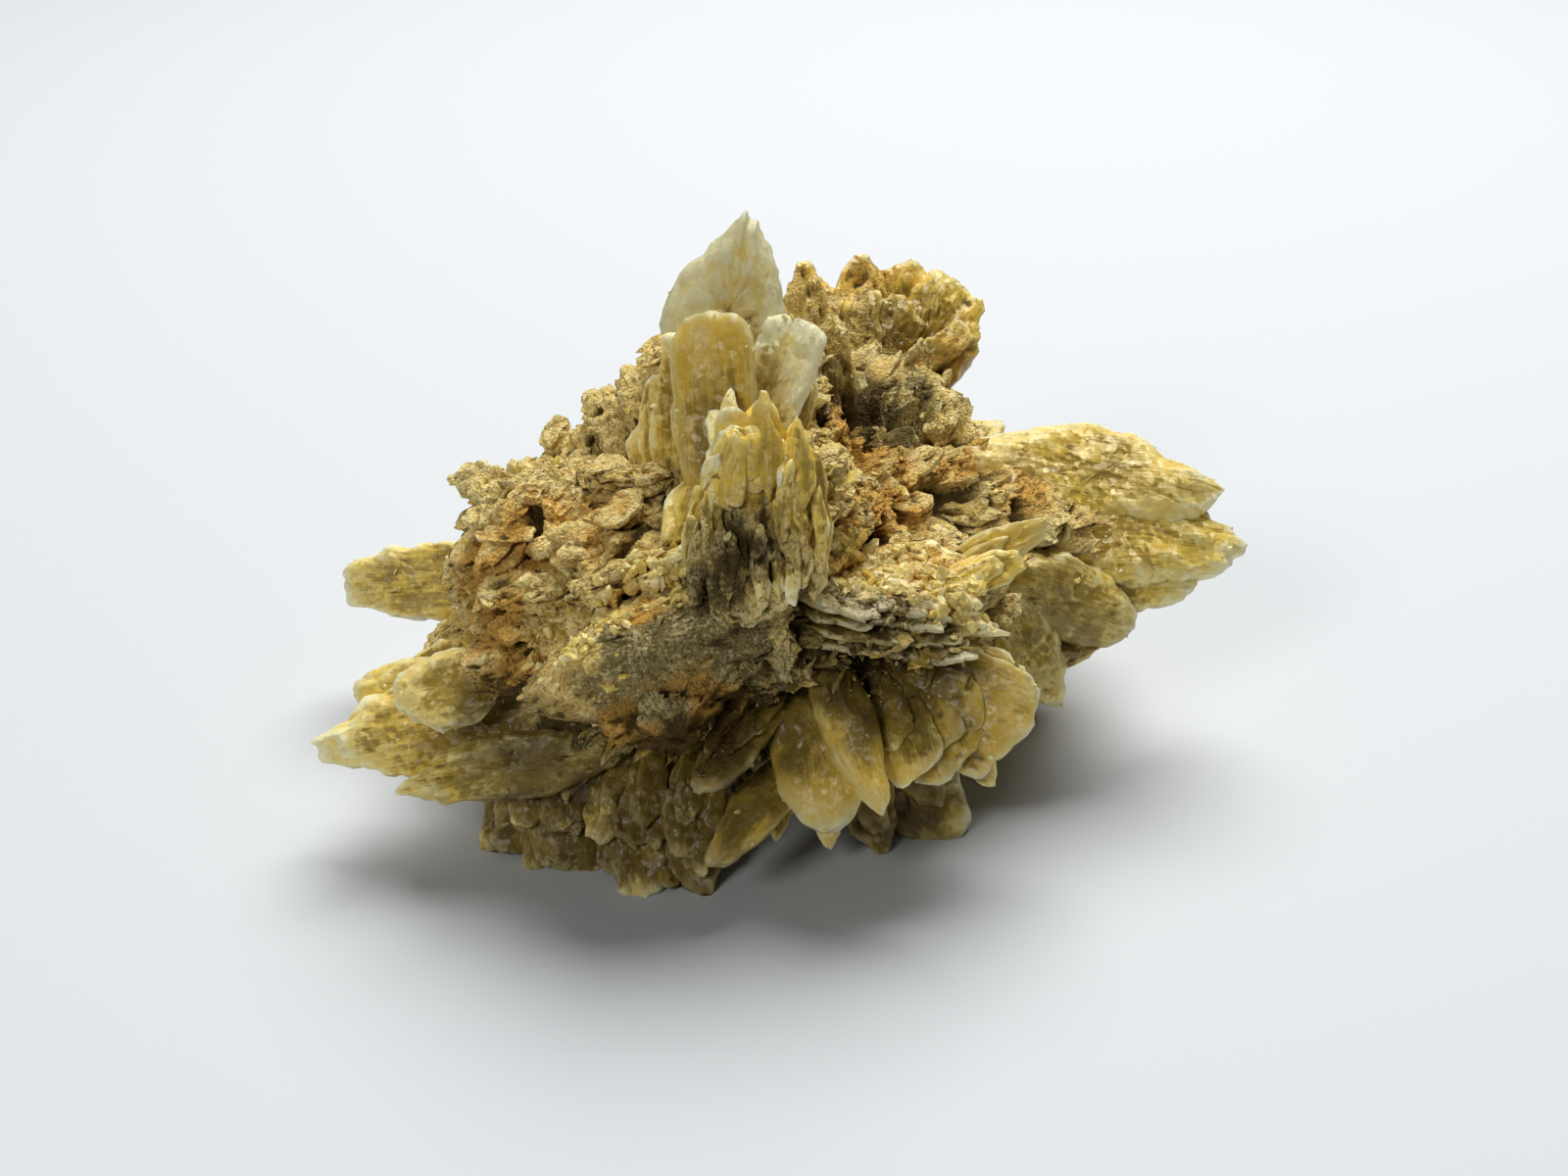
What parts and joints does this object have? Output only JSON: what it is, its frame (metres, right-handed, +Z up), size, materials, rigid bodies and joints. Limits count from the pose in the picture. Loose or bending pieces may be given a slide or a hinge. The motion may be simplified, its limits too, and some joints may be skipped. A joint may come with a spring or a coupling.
{
  "type": "desert rose selenite",
  "caption": "Desert rose: bladed selenite crystals grown together round a sandy lump, resting on the tips of its low petals.",
  "frame": {"origin": "middle of the bounding box, on the surface that the specimen rests on", "axes": "+X to the right of the front view, along its longest spread; +Y to the back; +Z up"},
  "size_m": [0.101, 0.0732, 0.061],
  "materials": {
    "selenite": "frosted honey and olive crystal blades, with rusty sand grown in between them"
  },
  "bodies": {
    "root": {"desert_rose": "selenite"}
  },
  "joints": []
}
